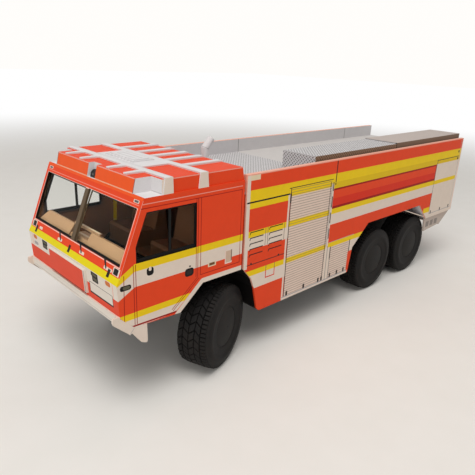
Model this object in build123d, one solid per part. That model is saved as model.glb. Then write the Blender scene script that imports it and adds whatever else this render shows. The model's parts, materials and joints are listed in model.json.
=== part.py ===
from build123d import *
from math import cos, hypot, radians, sin, sqrt
import os

# Card scale model of a six-wheeled water tanker fire truck, about 1:32.
# Millimetres. +X is forward, +Y the vehicle's left, +Z up from the ground. Stations x
# run back from the foot of the windscreen, so most of them are negative.

# Sheet thicknesses
CARD = 1.0
THIN_CARD = 0.6
FILM = 0.3

# Widths
HALF_WIDTH = 40.0
INNER = HALF_WIDTH - CARD

# Wheels: two steered in front, four in the bogie
TYRE_R = 20.4
TYRE_WIDTH = 15.0
TYRE_BACK = 2.8
WHEEL_Z = TYRE_R
FRONT_X = -51.2
MIDDLE_X = -188.1
BOGIE = 46.8
REAR_X = MIDDLE_X - BOGIE
KINGPIN_Y = HALF_WIDTH - 12.0
HUB_Y = HALF_WIDTH - 15.8
STEER = 21.0

# Wheel faces, as (radius, height above the tyre's face or the web)
DISH_R = 10.2
BARREL_R = 12.6
RIM = [(18.2, 0.0), (16.6, 0.8), (14.9, 0.9), (14.0, 0.5), (10.6, 0.3)]
SHOULDER = (0.4, 0.3, 3.2)
WEB_IN, WEB_OUT = 7.4, 10.6
CAP_R, CAP_FOOT, CAP_WALL, CAP_DOME = 9.6, 1.3, 1.5, 1.0

# Axle pins, kingpins and forks
PIN_R = 2.4
HEAD_R = 3.6
HEAD_THICK = 1.0
KINGPIN_R = 1.5
PLAY = 0.1
EYE_R = 3.4
EYE_HALF = 3.4
FORK = 1.8
FORK_PLAY = 0.2

# Cab in side view
BELT_Z = 61.0
ROOF_Z = 90.2
SCREEN_LEAN = 11.5
LIP = (0.4, 44.6)
BROW = (1.3, 58.5)
LOWER_LIP = (-0.6, 43.65)
NOSE_FOLD = 0.3
CAB_REAR_X = -63.3
CHIN = (-5.7, 38.8)
FRONT_ARCH_Z = 48.0
ARCH_FRONT = [(10.8, FRONT_ARCH_Z), (22.9, 37.6)]

# Glazing: margins of the windscreen, then the door window from belt and roof
SCREEN_FOOT, SCREEN_HEAD, SCREEN_SIDE = 4.0, 4.4, 2.1
PILLAR_HALF = 1.4
FILM_LAP = 1.1
WINDOW_REAR_X, WINDOW_TOP_X, WINDOW_FRONT_X = -36.6, -12.6, -7.4
WINDOW_SILL, WINDOW_CORNER, WINDOW_HEAD = 4.4, 11.0, 5.5

# Dashboard: rear edges (x, z) of its two wings and of the console between them
DASH_FOOT = (-2.3, 62.6)
DASH = [(-6.7, 68.8), (-8.4, 68.2), (-12.5, 57.6)]
CONSOLE = [(-5.2, 65.4), (-11.4, 64.4), (-12.5, 57.6)]
DASH_IN_Y = 7.7
DASH_CHEEK = 6.0
RAIL_BAR = (-8.6, -7.6, 68.0, 69.4)
RAIL_BAR_Y = (-9.0, 13.0)

# Seats: outline (x, z), the middle of each and half its width
SEAT = [
    (-36.0, 49.0), (-35.4, 57.6), (-36.6, 58.8), (-48.6, 57.4), (-52.6, 76.6), (-54.4, 77.6),
    (-56.6, 49.0),
]
SEAT_Y = 18.5
SEAT_HALF = 11.0
PLINTH = (-58.0, -36.0, 31.0)

# Hump on the roof with its corner niches and lamp niche
HUMP_RISE = 5.8
HUMP_Z = ROOF_Z + HUMP_RISE
HUMP_HALF = HALF_WIDTH - 0.6
HUMP_FRONT_X = -SCREEN_LEAN - 0.1
HUMP_REAR_X = CAB_REAR_X
FRONT_BATTER = 1.4
REAR_BATTER = 1.1
NICHE_X = -20.0
NICHE_IN_Y = HUMP_HALF - 7.0
LAMP_NICHE_X, LAMP_NICHE_HALF = -15.6, 3.3
LAMP = [(0.0, 0.0), (3.2, 0.0), (2.8, 1.9), (1.7, 3.0), (0.0, 3.0)]
LAMP_HALF = 1.9

# Lattice: straps as (front x low, front x high, rear x high, rear x low), ribs across
STRAPS = [(-20.2, -21.2, -24.8, -25.0), (-37.6, -38.4, -42.2, -42.7)]
RIB_Y = [-25.0, -11.6, 0.0, 11.2, 24.2]
RIB_HALF = 1.9
RIB_TIP = 1.1
PANEL_HALF = 18.5
HATCH = (-37.2, -26.4, -13.5, 9.5)
HATCH_STEP = 1.6
HATCH_THICK = 0.4

# Nose flap, bumper band and bumper end plates
FLAP_HALF = 16.1
FLAP_Z = (46.8, 57.2)
FLAP_THICK = 1.2
BAND_Z = (41.5, 45.2)
BAND_THICK = 0.7
BUMPER_TIP = 3.6
BUMPER_END = [
    (0.2, 45.4), (3.3, 45.2), (BUMPER_TIP, 43.6), (3.2, 42.5), (-3.8, 36.0), (-4.6, 36.6),
    (-8.9, 30.9), (-11.3, 29.9), (-11.8, 30.7),
]

# Tank body; arch points are offsets from the axles
BODY_FRONT_X = -64.9
BODY_LENGTH = 221.9
BODY_REAR_X = BODY_FRONT_X - BODY_LENGTH
BODY_TOP_Z = 92.2
PARAPET_RISE = 7.9
PARAPET = 2.5
DECK_Z = BODY_TOP_Z - PARAPET_RISE
FLOOR_Z = 49.9
BODY_FOOT_Z = 22.2
TAIL_Z = 38.0
BODY_ARCH = [(-19.1, 41.2), (-21.2, 36.0), (-24.0, 24.0), (-25.7, BODY_FOOT_Z)]
BODY_ARCH_TOP = 47.6
BOGIE_ARCH_FRONT = [(35.1, BODY_FOOT_Z), (32.7, 37.5), (18.1, FLOOR_Z)]
BOGIE_ARCH_REAR = [(0.3, FLOOR_Z), (-12.1, TAIL_Z)]
SKIRT_IN_Y = 14.0
TAIL = [(1.8, TAIL_Z), (14.8, 29.3)]
TAIL_FRONT = (0.6, 27.8)

# Mudguard over the rear wheel, as offsets from the rear axle
MUDGUARD = [(21.9, FLOOR_Z), (-9.3, 39.6), (-11.7, 38.4)]
MUDGUARD_IN_Y = 13.0

# Deck lockers: (front, rear) stations, inner side, gap to the parapet, height
LOCKER_FRONT = (-116.0, -195.8, 15.0, 0.7, 10.5)
LOCKER_REAR = (-196.6, BODY_REAR_X + 1.2, 14.0, 0.9, 10.9)

# Exhaust
EXHAUST_X, EXHAUST_Y = -82.9, -11.0
EXHAUST_R = 2.0
EXHAUST_RISE = 10.4
EXHAUST_LEAN = 42.0
EXHAUST_TIP = 6.6
EXHAUST_MOUTH = 5.0

# Chassis rails, cross members and axles
RAIL_Y = 12.0
RAIL_Z = 28.0
RAIL_FLANGE = 5.0
RAIL_FRONT_X = -16.0
CROSS_STATIONS = {"front": -92.0, "middle": -138.0, "rear": -211.5}
CROSS_HOLE_R = 6.0
AXLE_R = 2.5
AXLE_HOUSING = (4.6, 6.0, 12.0)
SEAT_LENGTH = 10.0

ORIGIN_X = -(BUMPER_TIP + BODY_REAR_X) / 2


def outline(points):
    """Face of the closed (x, z) points in the side view."""
    return Plane.XZ * make_face(Polyline(*points, close=True))


def plate(points, y0, y1):
    """Piece with the (x, z) outline points, standing from y0 to y1."""
    return extrude(Pos(0, y0, 0) * outline(points), amount=y1 - y0, dir=(0, 1, 0))


def block(x0, x1, y0, y1, z0, z1):
    """Rectangular piece between two corners."""
    size = Box(abs(x1 - x0), abs(y1 - y0), abs(z1 - z0))
    return Pos((x0 + x1) / 2, (y0 + y1) / 2, (z0 + z1) / 2) * size


def fold(path, thickness):
    """Outline of a folded sheet laid on the left of a path of (x, z) points."""
    normals = []
    for (xa, za), (xb, zb) in zip(path, path[1:]):
        length = hypot(xb - xa, zb - za)
        normals.append(((za - zb) / length, (xb - xa) / length))
    far = []
    for i, (x, z) in enumerate(path):
        a = normals[max(i - 1, 0)]
        b = normals[min(i, len(normals) - 1)]
        scale = thickness / (1 + a[0] * b[0] + a[1] * b[1])
        far.append((x + (a[0] + b[0]) * scale, z + (a[1] + b[1]) * scale))
    return path + far[::-1]


def from_axle(x, points):
    """Arch points, given as offsets from the axle at station x."""
    return [(x + dx, z) for dx, z in points]


def between(a, b, z):
    """Station at height z on the line through points a and b."""
    return a[0] + (b[0] - a[0]) * (z - a[1]) / (b[1] - a[1])


def both_sides(name, left):
    """A left-hand piece and its mirror image, as named parts."""
    return {f"{name}_left": left, f"{name}_right": mirror(left, about=Plane.XZ)}


# Lines shared by the cab, the body and the chassis
SLANT_LENGTH = hypot(SCREEN_LEAN, ROOF_Z - BELT_Z)
SCREEN_CUT = CARD * SLANT_LENGTH / (ROOF_Z - BELT_Z)
CAB_ARCH = [(CAB_REAR_X, FRONT_ARCH_Z)] + from_axle(FRONT_X, ARCH_FRONT)
BODY_FRONT_ARCH = [(BODY_FRONT_X, BODY_ARCH_TOP)] + from_axle(FRONT_X, BODY_ARCH)
BODY_REAR_ARCH = from_axle(MIDDLE_X, BOGIE_ARCH_FRONT) + from_axle(REAR_X, BOGIE_ARCH_REAR)


def slant(v, depth=0.0):
    """Point (x, z) at v up the windscreen plane, depth behind it."""
    ux, uz = -SCREEN_LEAN / SLANT_LENGTH, (ROOF_Z - BELT_Z) / SLANT_LENGTH
    return (v * ux - depth * uz, BELT_Z + v * uz + depth * ux)


def nose_x(z):
    """Station of the nose panel's outer face at height z."""
    return between(LIP, BROW, z)


def sill_z(x):
    """Height of the cab's lower edge between the chin and the arch."""
    (x0, z0), (x1, z1) = CHIN, CAB_ARCH[-1]
    return z0 + (z1 - z0) * (x - x0) / (x1 - x0)


def turned(points):
    """Solid of revolution of (radius, offset) points about the wheel's axle, +Y outward."""
    return revolve(make_face(Polyline(*points, close=True)), axis=Axis.Y)


def cab_shell():
    """Sides, nose, windscreen frame, floor, rear wall and roof of the cab."""
    under = ROOF_Z - CARD
    top = (between((0, BELT_Z), (-SCREEN_LEAN, ROOF_Z), under), under)
    side_line = [LIP, BROW, (0, BELT_Z), top, (CAB_REAR_X, under)] + CAB_ARCH + [CHIN]
    window = outline([
        (WINDOW_FRONT_X, BELT_Z + WINDOW_SILL), (WINDOW_REAR_X, BELT_Z + WINDOW_SILL),
        (WINDOW_REAR_X, ROOF_Z - WINDOW_HEAD), (WINDOW_TOP_X, ROOF_Z - WINDOW_HEAD),
        (WINDOW_FRONT_X, BELT_Z + WINDOW_CORNER),
    ])
    side = plate(side_line, INNER, HALF_WIDTH)
    side -= extrude(Pos(0, INNER, 0) * window, amount=CARD, dir=(0, 1, 0))
    film = offset(window, FILM_LAP, kind=Kind.INTERSECTION)
    side_film = extrude(Pos(0, INNER - FILM, 0) * film, amount=FILM, dir=(0, 1, 0))

    fold_z = BROW[1] - NOSE_FOLD
    lining = [(-SCREEN_CUT, BELT_Z), (nose_x(fold_z) - CARD, fold_z), (LOWER_LIP[0], LIP[1]), LOWER_LIP]
    nose = plate([LIP, BROW, (0, BELT_Z)] + lining, -INNER, INNER)

    frame = plate([(0, BELT_Z), top, (top[0] - SCREEN_CUT, under), (-SCREEN_CUT, BELT_Z)], -INNER, INNER)
    foot, head = SCREEN_FOOT, SLANT_LENGTH - SCREEN_HEAD
    pane = [slant(foot, -CARD), slant(head, -CARD), slant(head, 2 * CARD), slant(foot, 2 * CARD)]
    for y0, y1 in [(SCREEN_SIDE - HALF_WIDTH, -PILLAR_HALF), (PILLAR_HALF, HALF_WIDTH - SCREEN_SIDE)]:
        frame -= plate(pane, y0, y1)
    foot, head = foot - FILM_LAP, head + FILM_LAP
    screen = [slant(foot, CARD), slant(head, CARD), slant(head, CARD + FILM), slant(foot, CARD + FILM)]
    screen_half = HALF_WIDTH - SCREEN_SIDE + FILM_LAP - 0.2

    floor_path = [(LOWER_LIP[0] - 1.2, LOWER_LIP[1] - 1.14), CHIN] + CAB_ARCH[::-1]
    roof_line = [top, (-SCREEN_LEAN, ROOF_Z), (CAB_REAR_X, ROOF_Z), (CAB_REAR_X, under)]
    return {
        **both_sides("cab_side", side),
        "cab_nose": nose,
        "windscreen_frame": frame,
        "windscreen_film": plate(screen, -screen_half, screen_half),
        **both_sides("side_film", side_film),
        "cab_floor": plate(fold(floor_path, -CARD), -INNER, INNER),
        "cab_rear": block(CAB_REAR_X, CAB_REAR_X + CARD, -INNER, INNER, FRONT_ARCH_Z + CARD, under),
        "roof_plate": plate(roof_line, -HALF_WIDTH, HALF_WIDTH),
    }


def cab_interior():
    """Folded dashboard with its console and bar, and the two seats on their plinth."""
    crest_z = DASH[0][1]
    (rear_x, low_z), bend_z = DASH[-1], BROW[1] - NOSE_FOLD
    front = [(nose_x(low_z) - CARD, low_z), (nose_x(bend_z) - CARD, bend_z), (-SCREEN_CUT, BELT_Z), DASH_FOOT]
    wing = plate(DASH + front, DASH_IN_Y, INNER)
    end = Polyline((INNER - DASH_CHEEK, crest_z), (INNER, DASH_FOOT[1]), (INNER, crest_z), close=True)
    wing -= extrude(Pos(rear_x, 0, 0) * (Plane.YZ * make_face(end)), amount=-rear_x)
    dashboard = wing + mirror(wing, about=Plane.XZ) + plate(CONSOLE + front, -DASH_IN_Y, DASH_IN_Y)
    x0, x1, z0, z1 = RAIL_BAR
    dashboard += block(x0, x1, *RAIL_BAR_Y, z0, z1)

    seats = block(PLINTH[0], PLINTH[1], -PLINTH[2], PLINTH[2], FRONT_ARCH_Z + CARD, FRONT_ARCH_Z + 2 * CARD)
    for y in (-SEAT_Y, SEAT_Y):
        seats += plate(SEAT, y - SEAT_HALF, y + SEAT_HALF)
    return {"dashboard": dashboard, "seats": seats}


def roof_parts():
    """Hollow hump on the cab roof, its white lattice, hatch lid and lamp."""
    front_top, rear_top = HUMP_FRONT_X - FRONT_BATTER, HUMP_REAR_X + REAR_BATTER
    hump_line = [(HUMP_FRONT_X, ROOF_Z), (front_top, HUMP_Z), (rear_top, HUMP_Z), (HUMP_REAR_X, ROOF_Z)]
    hump = plate(hump_line, -HUMP_HALF, HUMP_HALF)
    hump -= block(LAMP_NICHE_X, 0, -LAMP_NICHE_HALF, LAMP_NICHE_HALF, ROOF_Z, HUMP_Z)
    for s in (1, -1):
        hump -= block(NICHE_X, 0, s * NICHE_IN_Y, s * HALF_WIDTH, ROOF_Z, HUMP_Z)
    ceiling = HUMP_Z - CARD
    wall = LAMP_NICHE_X - CARD
    inner_y, niche_y = HUMP_HALF - CARD, NICHE_IN_Y - CARD
    hump -= block(rear_top + CARD, NICHE_X - CARD, -inner_y, inner_y, ROOF_Z, ceiling)
    hump -= block(NICHE_X - CARD, wall, -niche_y, niche_y, ROOF_Z, ceiling)
    for s in (1, -1):
        hump -= block(wall, front_top - CARD, s * (LAMP_NICHE_HALF + CARD), s * niche_y, ROOF_Z, ceiling)

    lattice_z = HUMP_Z + THIN_CARD
    lattice = block(STRAPS[1][1], STRAPS[0][2], -PANEL_HALF, PANEL_HALF, HUMP_Z, lattice_z)
    for front_low, front_high, rear_high, rear_low in STRAPS:
        lattice += block(rear_high, front_high, -HUMP_HALF, HUMP_HALF, HUMP_Z, lattice_z)
        drop = [(rear_low, ROOF_Z), (front_low, ROOF_Z), (front_high, lattice_z), (rear_high, lattice_z)]
        for s in (1, -1):
            lattice += plate(drop, s * HUMP_HALF, s * (HUMP_HALF + THIN_CARD))
    for y in RIB_Y:
        lattice += block(rear_top, STRAPS[1][2], y - RIB_HALF, y + RIB_HALF, HUMP_Z, lattice_z)
        if y:
            root, tip = STRAPS[0][1], front_top - 0.4
            corners = [(root, y - RIB_HALF), (tip, y - RIB_TIP), (tip, y + RIB_TIP), (root, y + RIB_HALF)]
            rib = make_face(Polyline(*corners, close=True))
            lattice += extrude(Pos(0, 0, HUMP_Z) * rib, amount=THIN_CARD)

    x0, x1, y0, y1 = HATCH
    hatch = block(x0, x1, y0, y1, lattice_z, lattice_z + HATCH_THICK)
    step = HATCH_STEP
    hatch += block(x0 + step, x1 - step, y0 + step, y1 - step, lattice_z, lattice_z + 2 * HATCH_THICK)
    lamp = [(LAMP_NICHE_X + dx, ROOF_Z + dz) for dx, dz in LAMP]
    return {
        "roof_hump": hump,
        "roof_lattice": lattice,
        "roof_hatch": hatch,
        "roof_lamp": plate(lamp, -LAMP_HALF, LAMP_HALF),
    }


def nose_parts(cab_side):
    """Flap on the nose, band under it and the two bumper end plates with their steps."""
    z0, z1 = FLAP_Z
    flap = [(nose_x(z0), z0), (nose_x(z1), z1), (nose_x(z1) + FLAP_THICK, z1), (nose_x(z0) + FLAP_THICK, z0)]
    low, high = BAND_Z
    face = LIP[0] + BAND_THICK
    band = [LIP, (nose_x(high), high), (face, high), (face, low), (LIP[0], low)]
    step_x = BUMPER_END[-1][0] + 0.2
    end = BUMPER_END + [(step_x, sill_z(step_x)), (CHIN[0], CHIN[1] + 0.4)]
    return {
        "front_flap": plate(flap, -FLAP_HALF, FLAP_HALF),
        "bumper_band": plate(band, -INNER, INNER),
        **both_sides("bumper_end", plate(end, INNER, HALF_WIDTH) - cab_side),
    }


def body_parts():
    """Tank body: sides with double parapets, walls, deck, floor, arch liners and tail."""
    front, rear = BODY_FRONT_X, BODY_REAR_X
    side_line = [(front, BODY_TOP_Z), (rear, BODY_TOP_Z), (rear, TAIL_Z)]
    side = plate(side_line + BODY_REAR_ARCH[::-1] + BODY_FRONT_ARCH[::-1], INNER, HALF_WIDTH)
    side += block(rear, front, HALF_WIDTH - PARAPET, INNER, DECK_Z, BODY_TOP_Z)

    under = DECK_Z - CARD
    wall_x = front - CARD
    floor_path = [(wall_x, FLOOR_Z)] + BODY_REAR_ARCH[3:] + [(rear + CARD, TAIL_Z)]
    floor = plate(fold(floor_path, -CARD), -INNER, INNER)

    wall_z = between(BODY_FRONT_ARCH[0][::-1], BODY_FRONT_ARCH[1][::-1], wall_x)
    liner = [(wall_x, FLOOR_Z), (wall_x, wall_z)] + BODY_FRONT_ARCH[1:] + BODY_REAR_ARCH[:3]
    skirt = plate(fold(liner, -CARD), SKIRT_IN_Y, INNER) + plate(liner, SKIRT_IN_Y, SKIRT_IN_Y + CARD)
    above_floor = block(0, rear, 0, HALF_WIDTH, FLOOR_Z, BODY_TOP_Z)

    guard_line = fold(from_axle(REAR_X, MUDGUARD), -THIN_CARD)
    guard = plate(guard_line, MUDGUARD_IN_Y, INNER) - floor - above_floor

    back = [(rear + dx, z) for dx, z in TAIL]
    cheek = [(BODY_REAR_ARCH[-1][0] - 0.2, TAIL_Z)] + back + [(BODY_REAR_ARCH[-1][0] - 1.6, TAIL_FRONT[1])]
    tail = plate(cheek, INNER - CARD, INNER)
    tail += mirror(tail, about=Plane.XZ) + plate(fold(back, -CARD), -INNER, INNER)
    tail -= block(0, rear, -HALF_WIDTH, HALF_WIDTH, TAIL_Z, BODY_TOP_Z)
    return {
        **both_sides("body_side", side),
        "body_front": block(wall_x, front, -INNER, INNER, FRONT_ARCH_Z, under),
        "body_rear": block(rear, rear + CARD, -INNER, INNER, TAIL_Z, under),
        "body_floor": floor,
        "deck": block(rear, front, -INNER, INNER, under, DECK_Z),
        **both_sides("skirt", skirt - above_floor),
        **both_sides("mudguard", guard),
        "tail_skirt": tail,
        "locker_front": locker(*LOCKER_FRONT),
        "locker_rear": locker(*LOCKER_REAR),
        "exhaust": exhaust(),
    }


def locker(x0, x1, inner_y, gap, height):
    """Card box without a bottom, along the left parapet."""
    y1 = HALF_WIDTH - PARAPET - gap
    box = block(x0, x1, inner_y, y1, DECK_Z, DECK_Z + height)
    return box - block(x0 - CARD, x1 + CARD, inner_y + CARD, y1 - CARD, DECK_Z, DECK_Z + height - CARD)


def exhaust():
    """Rolled stack behind the cab, mitred back to its open mouth."""
    lean = radians(EXHAUST_LEAN)
    bend = Vector(EXHAUST_X, EXHAUST_Y, DECK_Z + EXHAUST_RISE)
    foot = Vector(EXHAUST_X, EXHAUST_Y, DECK_Z)
    tip = bend + Vector(-sin(lean), 0, cos(lean)) * EXHAUST_TIP
    stack = sweep(Pos(foot) * Circle(EXHAUST_R), Polyline(foot, bend, tip), transition=Transition.RIGHT)
    bore = Cylinder(EXHAUST_R - THIN_CARD, 2 * EXHAUST_MOUTH)
    return stack - Pos(tip) * Rot(0, -EXHAUST_LEAN, 0) * bore


def axle_beam(x, half):
    """Round axle with a swelling at its middle and a seat under each chassis rail."""
    radius, flat, foot = AXLE_HOUSING
    line = [(AXLE_R, -half), (AXLE_R, -foot), (radius, -flat), (radius, flat), (AXLE_R, foot), (AXLE_R, half)]
    beam = Pos(x, 0, WHEEL_Z) * turned([(0, -half)] + line + [(0, half)])
    x0, x1 = x - SEAT_LENGTH / 2, x + SEAT_LENGTH / 2
    for s in (1, -1):
        beam += block(x0, x1, s * (RAIL_Y - RAIL_FLANGE), s * RAIL_Y, WHEEL_Z, RAIL_Z)
    return beam


def axle_pin(start):
    """Pin from start outward through the wheel's web, with its head."""
    neck = WEB_OUT + PLAY
    tip = neck + HEAD_THICK
    return turned([(0, start), (PIN_R, start), (PIN_R, neck), (HEAD_R, neck), (HEAD_R, tip), (0, tip)])


def wheel():
    """Tyre with its web, axis along +Y, offset 0 at the kingpin or hub plane."""
    back, face = -TYRE_BACK, TYRE_WIDTH - TYRE_BACK
    drop, lip, chamfer = SHOULDER
    bore = PIN_R + PLAY
    line = [
        (bore, WEB_IN), (BARREL_R, WEB_IN), (BARREL_R, back + 0.6), (BARREL_R + 1.4, back - 0.2),
        (RIM[0][0], back), (TYRE_R - drop, back + lip), (TYRE_R, back + chamfer),
        (TYRE_R, face - chamfer), (TYRE_R - drop, face - lip),
    ]
    line += [(radius, face + rise) for radius, rise in RIM]
    return turned(line + [(DISH_R, WEB_OUT), (bore, WEB_OUT)])


def hub_cap():
    """Domed disc over the pin's head."""
    foot, wall = WEB_OUT + CAP_FOOT, WEB_OUT + CAP_WALL
    crown = wall + CAP_DOME
    dome_r = (CAP_R ** 2 + CAP_DOME ** 2) / (2 * CAP_DOME)
    middle = (CAP_R / 2, crown - dome_r + sqrt(dome_r ** 2 - CAP_R ** 2 / 4))
    well = CAP_R - 2 * CARD
    lines = Polyline((0, crown), (0, foot), (well, foot), (well, WEB_OUT), (CAP_R, WEB_OUT), (CAP_R, wall))
    return revolve(make_face(lines + ThreePointArc((CAP_R, wall), middle, (0, crown))), axis=Axis.Y)


def knuckle():
    """Fork on the kingpin carrying the axle pin, axis along +Y."""
    arm = EYE_HALF + FORK_PLAY
    web_y = EYE_R + 0.5
    body = block(-EYE_R, EYE_R, web_y, web_y + FORK, -arm - FORK, arm + FORK)
    for s in (1, -1):
        body += block(-EYE_R, EYE_R, 0, web_y, s * arm, s * (arm + FORK))
        body += Pos(0, 0, s * (arm + FORK / 2)) * Cylinder(EYE_R, FORK)
    body += Cylinder(KINGPIN_R, 2 * (arm + FORK))
    return body + axle_pin(web_y)


def chassis():
    """Two folded channel rails and the cross members between them."""
    step_x = BODY_FRONT_X - CARD - 0.1
    top = [(RAIL_FRONT_X, sill_z(RAIL_FRONT_X))] + CAB_ARCH[:0:-1]
    top += [(step_x, FRONT_ARCH_Z), (step_x - 1.5, FLOOR_Z)] + BODY_REAR_ARCH[3:]
    rear_x = BODY_REAR_ARCH[-1][0]
    web = top + [(rear_x, RAIL_Z), (RAIL_FRONT_X, RAIL_Z)]
    inner_y = RAIL_Y - RAIL_FLANGE
    rail = plate(web, RAIL_Y - CARD, RAIL_Y) + plate(fold(top, CARD), inner_y, RAIL_Y)
    rail += block(rear_x, RAIL_FRONT_X, inner_y, RAIL_Y, RAIL_Z, RAIL_Z + CARD)
    parts = both_sides("chassis_rail", rail)
    for name, x in CROSS_STATIONS.items():
        low, high = RAIL_Z + CARD, FLOOR_Z - CARD
        member = block(x - CARD, x + CARD, CARD - RAIL_Y, RAIL_Y - CARD, low, high)
        hole = Pos(x, 0, (low + high) / 2) * Rot(0, 90, 0) * Cylinder(CROSS_HOLE_R, 4 * CARD)
        parts[f"cross_member_{name}"] = member - hole
    return parts


def running_gear():
    """Axles, knuckles, wheels and hub caps."""
    front = axle_beam(FRONT_X, KINGPIN_Y - 2.0)
    for s in (1, -1):
        front += Pos(FRONT_X, s * KINGPIN_Y, WHEEL_Z) * Cylinder(EYE_R, 2 * EYE_HALF)
    for s in (1, -1):
        front -= Pos(FRONT_X, s * KINGPIN_Y, WHEEL_Z) * Cylinder(KINGPIN_R + PLAY, 4 * EYE_HALF)
    parts = {"front_axle": front}
    places = {
        "front_left": Pos(FRONT_X, KINGPIN_Y, WHEEL_Z) * Rot(0, 0, STEER),
        "front_right": Pos(FRONT_X, -KINGPIN_Y, WHEEL_Z) * Rot(0, 0, 180 + STEER),
    }
    parts["knuckle_left"] = places["front_left"] * knuckle()
    parts["knuckle_right"] = places["front_right"] * knuckle()
    for name, x in (("middle", MIDDLE_X), ("rear", REAR_X)):
        axle = axle_beam(x, HUB_Y - 1.0)
        for side, s, turn in (("left", 1, 0), ("right", -1, 180)):
            place = Pos(x, s * HUB_Y, WHEEL_Z) * Rot(0, 0, turn)
            axle += place * axle_pin(-1.5)
            places[f"{name}_{side}"] = place
        parts[f"{name}_axle"] = axle
    for name, place in places.items():
        parts[f"wheel_{name}"] = place * wheel()
        parts[f"hub_cap_{name}"] = place * hub_cap()
    return parts


parts = cab_shell()
parts |= cab_interior()
parts |= roof_parts()
parts |= nose_parts(parts["cab_side_left"])
parts |= body_parts()
parts |= chassis()
parts |= running_gear()

os.makedirs("parts", exist_ok=True)
for name, part in parts.items():
    export_step(Pos(ORIGIN_X, 0, 0) * part, f"parts/{name}.step")
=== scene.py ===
# %% [markdown]
# # A card fire tanker, dressed for its portrait
# The object is a scale model made of printed card: six wheels, a cab with clear film in its
# windows, and a long body. The construction comes ready made as separate pieces, so this
# lesson is about surfaces. Almost everything that the eye sees on a card model is ink, and
# ink is a pattern that a material can draw by arithmetic on the piece's own coordinates.

# %% The frame
import json
import math

import bpy
from mathutils import Matrix, Vector


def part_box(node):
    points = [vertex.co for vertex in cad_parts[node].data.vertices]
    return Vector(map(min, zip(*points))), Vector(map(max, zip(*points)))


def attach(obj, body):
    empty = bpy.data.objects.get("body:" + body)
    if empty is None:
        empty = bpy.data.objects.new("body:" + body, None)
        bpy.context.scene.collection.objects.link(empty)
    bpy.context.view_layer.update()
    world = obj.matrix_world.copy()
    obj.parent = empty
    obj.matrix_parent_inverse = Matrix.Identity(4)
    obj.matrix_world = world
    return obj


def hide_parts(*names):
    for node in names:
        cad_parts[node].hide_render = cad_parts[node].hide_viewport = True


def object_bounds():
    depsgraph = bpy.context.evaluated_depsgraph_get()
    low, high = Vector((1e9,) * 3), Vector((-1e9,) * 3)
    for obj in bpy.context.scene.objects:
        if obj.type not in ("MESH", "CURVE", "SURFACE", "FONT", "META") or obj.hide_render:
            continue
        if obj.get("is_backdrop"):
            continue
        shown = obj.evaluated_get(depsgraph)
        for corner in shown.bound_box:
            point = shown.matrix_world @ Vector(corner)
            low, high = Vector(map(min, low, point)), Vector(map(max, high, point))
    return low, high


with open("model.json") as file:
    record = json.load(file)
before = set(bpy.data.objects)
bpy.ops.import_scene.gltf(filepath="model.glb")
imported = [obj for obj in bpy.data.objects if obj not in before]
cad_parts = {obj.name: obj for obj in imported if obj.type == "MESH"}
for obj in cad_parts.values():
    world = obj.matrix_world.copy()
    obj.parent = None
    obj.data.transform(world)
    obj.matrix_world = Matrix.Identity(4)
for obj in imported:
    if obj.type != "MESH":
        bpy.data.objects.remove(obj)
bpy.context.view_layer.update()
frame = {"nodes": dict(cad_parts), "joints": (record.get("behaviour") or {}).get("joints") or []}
nodes = frame["nodes"]
MM = 0.001
print("pieces in the frame:", len(nodes))

# %% [markdown]
# ## One datum for every print
# A sheet of card is drawn flat, in millimetres, before it is cut. All prints here are measured
# the same way: x back from the foot of the windscreen, y from the middle line, z up from the
# ground. The foot of the windscreen is the foremost point of its frame. Each piece could have a
# datum of its own, but a stripe that runs on over three pieces would then have to be matched
# three times.

# %% The datum
screen_low, screen_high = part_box("windscreen_frame")
DATUM_X = screen_high.x
BELT_Z = screen_low.z / MM
HALF_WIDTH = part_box("body_side_left")[1].y / MM
print("datum", round(DATUM_X, 4), "belt", round(BELT_Z, 1), "half width", round(HALF_WIDTH, 1))

# %% [markdown]
# ## The camera
# The photograph was taken from the left front corner, a little above the roof. A camera can
# be aimed by eye, but here its place and turn were worked out from the model's own corners,
# so they are simply given: a place in millimetres and three turns in degrees.

# %% The camera
CAMERA_PLACE = (226.64, 188.56, 139.19)
CAMERA_TURN = (70.193, -2.329, 136.506)
CAMERA_LENS, SENSOR_WIDTH = 37.40, 36
NEAREST_SEEN = 10 * MM
bpy.ops.object.camera_add(location=[v * MM for v in CAMERA_PLACE],
                          rotation=[math.radians(v) for v in CAMERA_TURN])
camera = bpy.context.object
camera.name = "portrait_camera"
camera.data.lens = CAMERA_LENS
camera.data.sensor_width = SENSOR_WIDTH
camera.data.clip_start = NEAREST_SEEN
bpy.context.scene.camera = camera
bpy.context.scene.view_settings.view_transform = "Standard"
print("camera at", tuple(round(v, 3) for v in camera.location))

# %% [markdown]
# ## Wiring a material by name
# A node tree can be wired by hand in the editor. In a script the same wires become readable
# when each node is one call, which takes numbers or other nodes' outputs as its inputs. The
# small class below does that, and every material and group in the lesson is made with it.

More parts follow.
